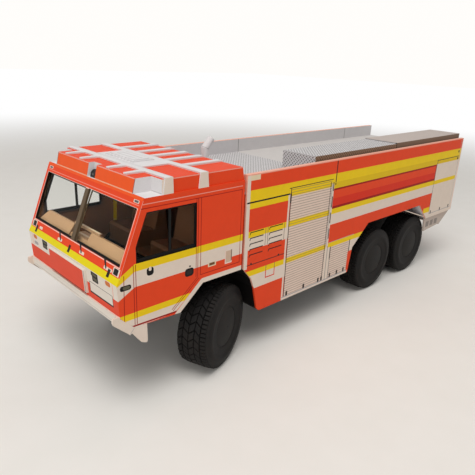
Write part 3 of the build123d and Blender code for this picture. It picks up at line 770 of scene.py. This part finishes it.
BLIND_GUIDE = [
    # dark dashes on the guide rail behind the shutter: low z, high z
    (75.6, 80.4), (66.5, 72.5), (57.5, 63.5), (48.5, 54.5),
]
# where the far panel is folded, and the height below which cut edges are red
FOLDS, RED_EDGES = (-133, -248.4), 36.5


def slat_lines(card, share):
    """Mask of the dark lines between slats, which take a share of each slat's height."""
    slat = card.w.math("FRACT", card.w.math("DIVIDE", card.axes["z"], SLAT_PITCH))
    return card.w.math("LESS_THAN", slat, share)


card = Print("body_side_print", "pink", gloss=0.05)
card.coat("red", "yz", "x", within=("z", RED_EDGES))
card.coat("ash", "xz", "y", within=("y", PRINTED_SIDE))
for x in FOLDS:
    card.stroke("slate", (x, 84), (x, 92.2), 0.5, 0.7)
card.coat("red", "xz", "y", beyond=("y", PRINTED_SIDE))
card.patches(BODY_PATCHES)
line = slat_lines(card, SLAT_LINE)
for rear, front, bottom, top in SHUTTERS:
    shutter = card.patch_mask(rear, front, bottom, top)
    card.ink("blind", shutter)
    for low, high in SHUTTER_STRIPES:
        if high <= top:
            card.patch("yellow", rear, front, low, high)
    card.ink("shade", card.w.times(shutter, line), 0.6)
for z, places in LATCHES.items():
    for x in places:
        card.patch("soot", x - 0.7, x + 0.7, z, z + 2.5, 0.2)
for low, high in BLIND_GUIDE:
    card.patch("soot", -130.1, -129.4, low, high)
for z in (77.2, 82.2):
    card.patch("black", -283.2, -281.6, z, z + 1.4)
card.strokes(BODY_LINES)
for rear, front in LOUVRE_COLUMNS:
    for z in LOUVRE_ROWS:
        card.stroke("black", (rear, z), (front, z), 0.45)
        card.stroke("black", (front, z), (front + 0.3, z - 0.9), 0.45)
for x in (-69.7, -89):
    card.patch("soot", x - 0.5, x + 0.5, 48.6, 49.6, 0.3)
card.stroke("pink", (-65, 92), (-286, 92), 0.6, 0.7)
card.dress("red_card", "body_side_left", "body_side_right")

# %% [markdown]
# ## The tail and the front wall
# The rear wall is out of the photograph. The stripes run on round the corner as they do on such
# vehicles, a roller shutter fills the middle, and two lamp clusters stand at its foot. Plain
# red would be the simplest guess, but it would look unfinished from behind.

# %% End walls
REAR_STRIPES = [
    # ink, y, y, low z, high z
    ("yellow", -40, 40, 79.3, 84.9), ("white", -40, 40, 56.4, 62.4),
    ("yellow", -40, 40, 62.4, 65.1),
]
REAR_LAMPS = [
    # on each side: ink, inner y, outer y, low z, high z, corner
    ("soot", 30, 37.5, 39.5, 53, 0.8), ("deep red", 30.8, 36.7, 47.6, 52.2, 0.5),
    ("orange", 30.8, 36.7, 43.8, 46.9, 0.5), ("white", 30.8, 36.7, 40.2, 43.1, 0.5),
]
REAR_FRAME = [
    # ink, y, z to y, z, width: the lines round the rear shutter
    ("soot", -26, 44, -26, 79, 0.4), ("soot", 26, 44, 26, 79, 0.4),
    ("slate", -26, 79.4, 26, 79.4, 0.6),
]

card = Print("rear_print", "raw card and highlight", gloss=0.05)
card.coat("red", "yz", "x")
card.patches(REAR_STRIPES)
shutter = card.patch_mask(-26, 26, 44, 79)
card.ink("plain grey", shutter, 0.9)
line = slat_lines(card, REAR_SLAT_LINE)
card.ink("shade", card.w.times(shutter, line), 0.45)
card.strokes(REAR_FRAME)
for side in (-1, 1):
    card.patches(REAR_LAMPS, side)
card.dress("red_card", "body_rear")
Print("front_wall_print", "red").dress("red_card", "body_front")
card = Print("cab_rear_print", "red")
card.coat("bulkhead", "yz", "+x")
card.dress("red_card", "cab_rear")

# %% [markdown]
# ## Tread plate
# The deck and the front deck locker are printed with tread plate: short raised dashes, each at
# a right angle to its neighbours. Turned by an eighth of a turn, the pattern is a chessboard in
# which every other field holds a dash the other way, and that is easy arithmetic. Dashes of
# mesh would be thousands of tiny faces for a print that is flat anyway.

# %% Tread plate group
TREAD_PITCH = 2
DASH_THIN, DASH_LONG = 0.16, 0.40


def make_tread_plate():
    group, w, given, out = new_group("Tread plate stencil", MASK, Place="Vector", Pitch="Float")
    place = w.vector("SCALE", given["Place"], scale=w.math("DIVIDE", 1, given["Pitch"]))
    x, y, _ = w.split(place)
    u, v = w.math("ADD", x, y), w.math("SUBTRACT", x, y)
    field = w.math("ADD", w.math("FLOOR", u), w.math("FLOOR", v))
    odd = w.math("FLOORED_MODULO", field, 2)
    from_middle = [w.math("ABSOLUTE", w.math("SUBTRACT", w.math("FRACT", t), 0.5))
                   for t in (u, v)]
    thin = [w.math("LESS_THAN", t, DASH_THIN) for t in from_middle]
    long = [w.math("LESS_THAN", t, DASH_LONG) for t in from_middle]
    one = w.times(w.times(thin[0], long[1]), odd)
    other = w.times(w.times(thin[1], long[0]), w.math("SUBTRACT", 1, odd))
    w.feed(out.inputs["Mask"], w.math("ADD", one, other, clamp=True))
    return group


def tread(card):
    """Mask of the dashes on the faces that a print has picked."""
    return card.w.group(TREAD_PLATE, Place=card.place, Pitch=TREAD_PITCH)[0]


TREAD_PLATE = make_tread_plate()
print("tread plate has", len(TREAD_PLATE.nodes), "nodes")

# %% [markdown]
# ## Deck and lockers
# Only the front of the deck has the tread plate, the rest is plain grey. The front locker has
# it in a stronger print on its lid and its front wall, and on brown along its sides. The rear
# locker has a plain grey lid. Each could have a pattern of its own, but one group with another
# ink under it keeps the dashes alike.

# %% Deck and lockers
FRONT_LOCKER_FACES = [
    # ground ink, plane, facing
    ("ash", "xy", "z"), ("ash", "yz", "+x"), ("lid side", "xz", "y"),
]

card = Print("deck_print", "deck grey")
card.face("xy", "z")
dashes = tread(card)
front_part = card.patch_mask(-131.5, -64, -38, 38)
card.ink("ash", front_part)
card.ink("slate", card.w.times(dashes, front_part), 0.75)
card.dress("grey_card", "deck")

card = Print("front_locker_print", "shade")
for ground in FRONT_LOCKER_FACES:
    card.coat(*ground)
    card.ink("reveal", tread(card), 0.85)
# painted light: the rear face, in the narrow gap to the rear locker, is a grey lighter than its
# shade
card.coat("grey", "yz", "-x")
card.dress("grey_card", "locker_front")

card = Print("rear_locker_print", "shade")
card.coat("lid grey", "xy", "z")
# painted light: the faces that look along the deck are grey, lighter than the shade in the gap
card.coat("grey", "yz", "x")
# painted shade: a dark patch where the gap between the lockers opens at the near side
card.patch("reveal", 35.5, 41, 80, 96)
card.dress("grey_card", "locker_rear")

# %% [markdown]
# ## Exhaust, tail skirt and mudguards
# The exhaust is a rolled white tube, and its mitre shows as a fine grey line. The tail skirt is
# grey with three darker panels. The mudguards are white above and black below. Insets could
# make the panels and a seam the mitre, but both are printed, so they are patches and a line.

# %% Small sheet parts
TAIL_PANELS = (-266, -259.5, -253)

# painted light: the tube is in the white as lit from above
card = Print("exhaust_print", "cool-lit white")
card.face("xz")
card.stroke("grey", (-86, 93.6), (-80, 96.4), 0.35, 0.8)
card.dress("white_card", "exhaust")

card = Print("tail_print", "tail grey")
card.face("xz", "y", beyond=("y", 30))
for x in TAIL_PANELS:
    card.patch("slate", x - 2.3, x + 2.3, 30.5, 34.5, 0.2, strength=0.6)
card.dress("grey_card", "tail_skirt")

card = Print("mudguard_print", "white")
# painted light: the tops are in the white as lit from above
card.coat("cool-lit white", "xy", "+z")
card.coat("inside", "xy", "-z")
card.dress("grey_card", "mudguard_left", "mudguard_right")

# %% [markdown]
# ## Unseen card, and the interior
# Arch liners, floors and the chassis are black card, except where the body floor looks forward
# over the rear wheels, which is painted light in white. The dashboard is tan, with a lighter
# slope and front, its other faces in a darker tan as painted shade, and a cream note sheet, and
# the seats are brown. One material could cover it all, but the faces in sight behind the film
# have inks of their own.

# %% Black card and interior
BLACK_NODES = [n for n in nodes if n.startswith((
    "skirt", "chassis_rail", "cross_member", "front_axle", "middle_axle", "rear_axle",
    "cab_floor"))]
REAR_ARCH_X = 230

Print("black_card_print", "inside").dress("black_card", *BLACK_NODES)
card = Print("body_floor_print", "inside")
# painted light: faces looking forward over the rear wheels are in lit white, lighter than their
# shade
card.coat("cool-lit white", "xy", "+x", beyond=("x", REAR_ARCH_X))
card.dress("black_card", "body_floor")
# painted shade: the dashboard's faces other than its top and front are in a darker tan
card = Print("dashboard_print", "dark tan")
card.coat("tan", "yz", "+x")
card.coat("tan", "xy", "+z")
card.patch("cream", -8.8, -7.4, -9.1, 13.1)
card.dress("tan_card", "dashboard")
Print("seat_print", "brown").dress("brown_card", "seats")

# %% [markdown]
# ## Clear film
# The windows are thin acetate. It is glass with hardly any thickness: fully transmitting, a
# little rough so that reflections soften, and faintly grey. A mix of a transparent and a glossy
# shader could stand for it, but one Principled shader is simpler and can be exported.

# %% Film
FILM_IOR, FILM_ROUGHNESS, SMEAR_SCALE = 1.08, 0.08, 90

material, w, shader, place = new_material("clear_film")
shader.inputs["Transmission Weight"].default_value = 1
shader.inputs["Base Color"].default_value = (0.94, 0.95, 0.94, 1)
shader.inputs["IOR"].default_value = FILM_IOR
smear = w.noise(place, SMEAR_SCALE, 3)
w.feed(shader.inputs["Roughness"], w.math("MULTIPLY_ADD", smear, FILM_ROUGHNESS, 0))
for name in ("windscreen_film", "side_film_left", "side_film_right"):
    nodes[name].data.materials.clear()
    nodes[name].data.materials.append(material)
print("film ready")

# %% [markdown]
# ## Black moulding
# The wheels are moulded in black plastic, a satin surface with a fine spark-eroded grain and
# grey dust in patches. The same recipe serves tyres, caps and knuckles, with the tyres a
# shade duller. The grain could be a sculpted relief, but a bump of noise is finer than a mesh
# could carry.

# %% Moulding
GRAIN_SCALE, GRAIN_HEIGHT, CLOUD_SCALE = 1800, 0.0001, 110
DUST, DUST_FROM = linear(96, 86, 78), 0.42


def make_moulding(name, colour, rough, dust):
    material, w, shader, place = new_material(name)
    grain = w.noise(place, GRAIN_SCALE, 3)
    cloud = w.noise(place, CLOUD_SCALE, 4)
    dusty = w.times(w.math("SUBTRACT", cloud, DUST_FROM, clamp=True), dust)
    w.feed(shader.inputs["Base Color"], w.mix(dusty, colour, DUST))
    shader.inputs["Specular IOR Level"].default_value = 0.25
    w.feed(shader.inputs["Roughness"], w.math("MULTIPLY_ADD", cloud, 0.2, rough))
    bump = w.add("Bump", Strength=0.35, Distance=GRAIN_HEIGHT, Height=grain)
    w.feed(shader.inputs["Normal"], bump.outputs["Normal"])
    return material


RUBBER = make_moulding("tyre_moulding", linear(18, 16, 16), 0.62, 0.25)
PLASTIC = make_moulding("black_moulding", linear(19, 17, 16), 0.55, 0.22)
for name, node in nodes.items():
    if name.startswith(("knuckle", "hub_cap", "wheel")):
        node.data.materials.clear()
        node.data.materials.append(RUBBER if name.startswith("wheel") else PLASTIC)
print("mouldings ready")

# %% [markdown]
# ## Selecting in code
# With a mouse one clicks the faces to work on. In a script a test picks them by their place,
# and everything else is let go first, because an operator acts on all that is selected.

# %% Helpers for edit mode
SELECT_MODES = {"vertices": "VERT", "edges": "EDGE", "polygons": "FACE"}


def mode(name):
    bpy.ops.object.mode_set(mode=name)


def pick(piece, kind, test):
    """Goes to edit mode with only the vertices, edges or polygons that pass a test selected."""
    mode("EDIT")
    bpy.ops.mesh.select_mode(type=SELECT_MODES[kind])
    bpy.ops.mesh.select_all(action="DESELECT")
    mode("OBJECT")
    for item in getattr(piece.data, kind):
        item.select = bool(test(item))
    mode("EDIT")


def face_outwards():
    """Turns every normal of the piece in edit mode outwards."""
    bpy.ops.mesh.select_all(action="SELECT")
    bpy.ops.mesh.normals_make_consistent(inside=False)


def edge_places(piece, edge):
    return [piece.data.vertices[i].co for i in edge.vertices]


print("selection helpers ready")

# %% [markdown]
# ## Window rims
# The windows have black rims between the red card and the film, and the door's window has a
# bar between its two panes. A rim is a plate with as many corners as its pane. An inset makes
# a border, the middle is deleted, and an extrusion gives the border its thickness. Each plate
# is drawn flat and then stood on its film by one matrix. The rims are black, apart from the
# windscreen's middle post and the faces that look into the cab, which are grey brown.

# %% Window rims
RIM_THICK = 0.4
PANE_LOW, PANE_HIGH, BAR_X = 65.5, 84.6, -23.5
PANES = {
    # corners (x, z) of each side pane
    "front": [(-7.5, PANE_LOW), (-7.5, 71.9), (-12.7, PANE_HIGH), (BAR_X, PANE_HIGH),
              (BAR_X, PANE_LOW)],
    "rear": [(BAR_X, PANE_LOW), (BAR_X, PANE_HIGH), (-36.5, PANE_HIGH), (-36.5, PANE_LOW)],
}
SCREEN_PANES = {
    # corners (y, height up the slope) of each half of the windscreen
    "right": [(-37.8, 4.1), (-37.8, 26.8), (-1.5, 26.8), (-1.5, 4.1)],
    "left": [(1.5, 4.1), (1.5, 26.8), (37.8, 26.8), (37.8, 4.1)],
}
# a rim's width, and how much wider it is at the foot
SIDE_RIM, SCREEN_RIM = (0.6, 0.7), (0.45, 0.3)


def make_rim(name, corners, width, foot, matrix):
    """Frame along the corners of a pane, on the plane that the matrix gives."""
    bpy.ops.object.select_all(action="DESELECT")
    bpy.ops.mesh.primitive_circle_add(vertices=len(corners), radius=1, fill_type="NGON")
    rim = bpy.context.object
    rim.name = name
    for vertex, corner in zip(rim.data.vertices, corners):
        vertex.co = (*corner, 0)
    mode("EDIT")
    face_outwards()
    bpy.ops.mesh.inset(thickness=width)
    bpy.ops.mesh.delete(type="ONLY_FACE")
    inner_foot = min(v for _, v in corners) + width
    pick(rim, "vertices", lambda v: abs(v.co.y - inner_foot) < 0.1)
    bpy.ops.transform.translate(value=(0, foot, 0))
    bpy.ops.mesh.select_all(action="SELECT")
    bpy.ops.mesh.extrude_region_move(TRANSFORM_OT_translate={"value": (0, 0, RIM_THICK)})
    mode("OBJECT")
    rim.data.transform(matrix)
    mode("EDIT")
    face_outwards()
    mode("OBJECT")
    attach(rim, "chassis")
    return rim


def stand_up(across, up, out, foot):
    """Matrix that stands a flat drawing in millimetres on a plane of the truck."""
    matrix = Matrix.Translation(Vector(foot)) @ Matrix((across, up, out)).transposed().to_4x4()
    return Matrix.Translation((DATUM_X, 0, 0)) @ Matrix.Scale(MM, 4) @ matrix


def make_rims():
    names = []
    film_y = HALF_WIDTH - 1
    for side, s in (("left", 1), ("right", -1)):
        stand = stand_up((1, 0, 0), (0, 0, 1), (0, s, 0), (0, s * film_y, 0))
        for part, corners in PANES.items():
            names.append(make_rim(f"rim_{part}_{side}", corners, *SIDE_RIM, stand).name)
    lean = math.sqrt(1 - RISE ** 2)
    stand = stand_up((0, 1, 0), (-lean, 0, RISE), (RISE, 0, lean), (-RISE, 0, BELT_Z - lean))
    for side, corners in SCREEN_PANES.items():
        names.append(make_rim(f"rim_screen_{side}", corners, *SCREEN_RIM, stand).name)
    card = Print("rim_print", "inside")
    card.coat("pillar", "yz", within=("y", MIDDLE_POST))
    card.coat("pillar", "xz", "y", within=("y", film_y + 0.1))
    card.dress("black_card", *names)


make_rims()

# %% [markdown]
# ## The tyres
# The moulded tyre has four rows of blocks across, laid like a herringbone, and a row of short
# straight lugs along its square shoulder, two to a block. Blocks could be copied round the
# tyre one by one, but then each would need its own fitting. Here an open cylinder is cut into
# rings, every second edge of the block rows is dissolved, and every second ring is turned,
# which slants the blocks of each row the other way. One inset with a depth raises them all.
# The sides are the open rims, extruded inwards ring by ring.

# %% One tyre
LUGS = 32
LUG_HEIGHT, GROOVE = 0.7 * MM, 0.5 * MM
TYRE_BACK, TYRE_FACE = -2.8, 12.2
# places of the rings between the rows, and how far each is turned, in parts of a lug
RINGS = [(-2.4, 0), (0.5, 0.6), (3.4, 0), (6.3, 0.6), (9.2, 0), (11.8, 0)]
SHOULDER_DROP = 0.98
BORE = 2.5
# radius, height above the tyre's face or below its back
OUTER_SIDE = [
    (19.15, -0.1), (18.2, 0), (17.4, 0.3), (16.6, 0.7), (15.6, 0.9), (14.9, 0.9),
    (14.4, 0.75), (14, 0.5), (12.3, 0.42), (11.9, 0.34), (10.6, 0.2), (9.8, 0),
    (9.65, -0.6), (9.65, -1.6), (BORE, -1.6),
]
INNER_SIDE = [
    (19.15, 0.1), (18.2, 0), (15.9, 0.1), (15.5, 0.3), (14, -0.2), (12.6, 0.6),
    (12.6, 10.2), (BORE, 10.2),
]
MIDDLE = (0, 0, 0)
NEAR = 1e-5


def widen(factor):
    """Moves what is selected away from the wheel's axis, or towards it."""
    bpy.ops.transform.resize(value=(factor, 1, factor), center_override=MIDDLE)


def extrude_rim(piece, y, rings):
    """Extrudes the open rim at a height y through a list of (radius, y) rings."""
    pick(piece, "edges", lambda e: all(abs(p.y - y) < NEAR for p in edge_places(piece, e)))
    mode("OBJECT")
    radius = max(math.hypot(v.co.x, v.co.z) for v in piece.data.vertices if v.select)
    mode("EDIT")
    for next_radius, next_y in rings:
        bpy.ops.mesh.extrude_region_move(TRANSFORM_OT_translate={"value": (0, next_y - y, 0)})
        widen(next_radius / radius)
        radius, y = next_radius, next_y


def is_odd(point):
    """Whether a point stands on an odd edge, counted round the wheel in half blocks."""
    return round(math.atan2(point.x, point.z) * LUGS / math.pi) % 2 == 1


def is_spare(points):
    """Whether an edge from one point to another is to go, so that two half blocks join."""
    return all(is_odd(p) and p.y < RINGS[-2][0] * MM + NEAR for p in points)


def is_bore(points):
    """Whether an edge is one of those round the two ends of the bore."""
    start, end = points
    reach = max(math.hypot(p.x, p.z) for p in points)
    return reach < (BORE + 0.1) * MM and abs(start.y - end.y) < NEAR / 10


def make_tyre(radius):
    """Tyre round the Y axis, its outer face towards +Y."""
    bpy.ops.object.select_all(action="DESELECT")
    low, high = RINGS[0][0] * MM, RINGS[-1][0] * MM
    bpy.ops.mesh.primitive_cylinder_add(
        vertices=2 * LUGS, radius=radius - LUG_HEIGHT, depth=high - low,
        end_fill_type="NOTHING", rotation=(math.pi / 2, 0, 0))
    tyre = bpy.context.object
    tyre.name = "tyre"
    bpy.ops.object.transform_apply()
    mode("EDIT")
    bpy.ops.transform.translate(value=(0, (low + high) / 2, 0))
    for y, _ in RINGS[1:-1]:
        bpy.ops.mesh.select_all(action="SELECT")
        bpy.ops.mesh.bisect(plane_co=(0, y * MM, 0), plane_no=(0, 1, 0))
    pick(tyre, "edges", lambda e: is_spare(edge_places(tyre, e)))
    bpy.ops.mesh.dissolve_edges(use_verts=False)
    for y, turn in RINGS:
        pick(tyre, "vertices", lambda v: abs(v.co.y - y * MM) < NEAR)
        if y * MM in (low, high):
            widen(SHOULDER_DROP)
        bpy.ops.transform.rotate(value=turn * 2 * math.pi / LUGS, orient_axis="Y",
                                 center_override=MIDDLE)
    pick(tyre, "polygons", lambda f: True)
    bpy.ops.mesh.inset(thickness=GROOVE / 2, depth=LUG_HEIGHT, use_individual=True)
    extrude_rim(tyre, high, [(r * MM, (TYRE_FACE + rise) * MM) for r, rise in OUTER_SIDE])
    extrude_rim(tyre, low, [(r * MM, (TYRE_BACK + rise) * MM) for r, rise in INNER_SIDE])
    pick(tyre, "edges", lambda e: is_bore(edge_places(tyre, e)))
    bpy.ops.mesh.bridge_edge_loops()
    face_outwards()
    mode("OBJECT")
    widest = max(math.hypot(v.co.x, v.co.z) for v in tyre.data.vertices)
    pick(tyre, "vertices", lambda v: True)
    widen(radius / widest)
    mode("OBJECT")
    bpy.ops.object.shade_smooth_by_angle(angle=math.radians(30))
    return tyre


def fit_tyre(tyre, joint):
    """Copy of the tyre on one wheel's rolling axis."""
    outward = Vector(joint["axis"]).normalized()
    if outward.y * joint["pos_m"][1] < 0:
        outward = -outward
    up = Vector((0, 0, 1))
    place = Matrix((outward.cross(up), outward, up)).transposed().to_4x4()
    place.translation = Vector(joint["pos_m"])
    copy = tyre.copy()
    copy.data = tyre.data.copy()
    copy.data.transform(place)
    bpy.context.collection.objects.link(copy)
    return copy


def make_tyres():
    low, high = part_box("wheel_rear_left")
    tyre = make_tyre((high.z - low.z) / 2)
    tyre.data.materials.append(RUBBER)
    for joint in frame["joints"]:
        if not joint["name"].startswith("roll_"):
            continue
        wheel = joint["name"].replace("roll", "wheel")
        copy = fit_tyre(tyre, joint)
        copy.name = wheel.replace("wheel", "tyre")
        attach(copy, wheel)
        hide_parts(wheel)
    faces, reach = len(tyre.data.polygons), max(tyre.dimensions)
    print("one tyre has", faces, "faces, reach", round(reach, 5))
    bpy.data.objects.remove(tyre)


make_tyres()

# %% [markdown]
# ## Floor and light
# The stage is a pale floor that turns to plain white far from the model, under a white world.
# A wall could close the view as well, but it would need a seam or a curve in sight. The light
# is one broad lamp above, so that roofs are brightest and the long side is in half light, as
# in the photograph. A second, weak lamp in front lifts the nose.

# %% Stage
FLOOR_SIZE, FLOOR_DROP = 8, 0.05 * MM
FLOOR_FADE = (0.42, 1.1)
FLOOR_TONES = linear(238, 236, 232), linear(243, 241, 238)
SKY_COLOUR, SKY_LIGHT = (1, 0.985, 0.96, 1), 0.40
LAMPS = [
    # name, place, aim, size, power, colour
    ("key_lamp", (0.35, 0.3, 1.1), (0, 0, 0.05), 0.7, 7.4, (1, 0.97, 0.93)),
    ("nose_lamp", (1.1, 0.3, 0.35), (0.1, 0, 0.05), 0.5, 1.8, (1, 0.96, 0.90)),
]


def seen_directly(w, path):
    """1 for what the camera sees, in the open, in a reflection or through the film."""
    mirrored = w.math("MAXIMUM", path["Is Glossy Ray"], path["Is Transmission Ray"])
    return w.math("MAXIMUM", path["Is Camera Ray"], mirrored)


def make_stage():
    bpy.ops.object.select_all(action="DESELECT")
    bpy.ops.mesh.primitive_plane_add(size=FLOOR_SIZE, location=(0, 0, -FLOOR_DROP))
    floor = bpy.context.object
    floor.name = "floor"
    material, w, shader, place = new_material("pale_floor")
    tone = w.noise(place, 60, 2)
    w.feed(shader.inputs["Base Color"], w.mix(tone, *FLOOR_TONES))
    shader.inputs["Roughness"].default_value = 0.9
    shader.inputs["Specular IOR Level"].default_value = 0.1
    far = w.fade(w.vector("LENGTH", place), *FLOOR_FADE)
    white = w.add("Emission", Color=(1, 1, 1, 1), Strength=1)
    path = w.add("LightPath").outputs
    blend = w.add("MixShader", Fac=w.times(far, seen_directly(w, path)))
    w.feed(blend.inputs[1], shader.outputs[0])
    w.feed(blend.inputs[2], white.outputs[0])
    w.feed(material.node_tree.nodes["Material Output"].inputs["Surface"], blend.outputs[0])
    floor.data.materials.append(material)
    floor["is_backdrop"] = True


def make_world():
    """White where the camera, a reflection or the film looks at it, and softer as light."""
    world = bpy.data.worlds.new("studio")
    bpy.context.scene.world = world
    world.use_nodes = True
    w = Wiring(world.node_tree)
    background = world.node_tree.nodes["Background"]
    background.inputs["Color"].default_value = SKY_COLOUR
    seen = seen_directly(w, w.add("LightPath").outputs)
    strength = w.math("MULTIPLY_ADD", seen, 1 - SKY_LIGHT, SKY_LIGHT)
    w.feed(background.inputs["Strength"], strength)


def add_lamp(name, place, aim, size, power, colour):
    bpy.ops.object.light_add(type="AREA", location=place)
    lamp = bpy.context.object
    lamp.name = name
    lamp.rotation_euler = (Vector(aim) - Vector(place)).to_track_quat("-Z", "Y").to_euler()
    lamp.data.size = size
    lamp.data.energy = power
    lamp.data.color = colour


make_stage()
make_world()
for lamp in LAMPS:
    add_lamp(*lamp)
print("stage ready, lamps:", len(LAMPS))

# %% [markdown]
# ## The bounds
# At the end the box round the visual model, floor left out, is measured. The visual model
# has to stay inside the box of the construction.

# %% Finish
low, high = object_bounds()
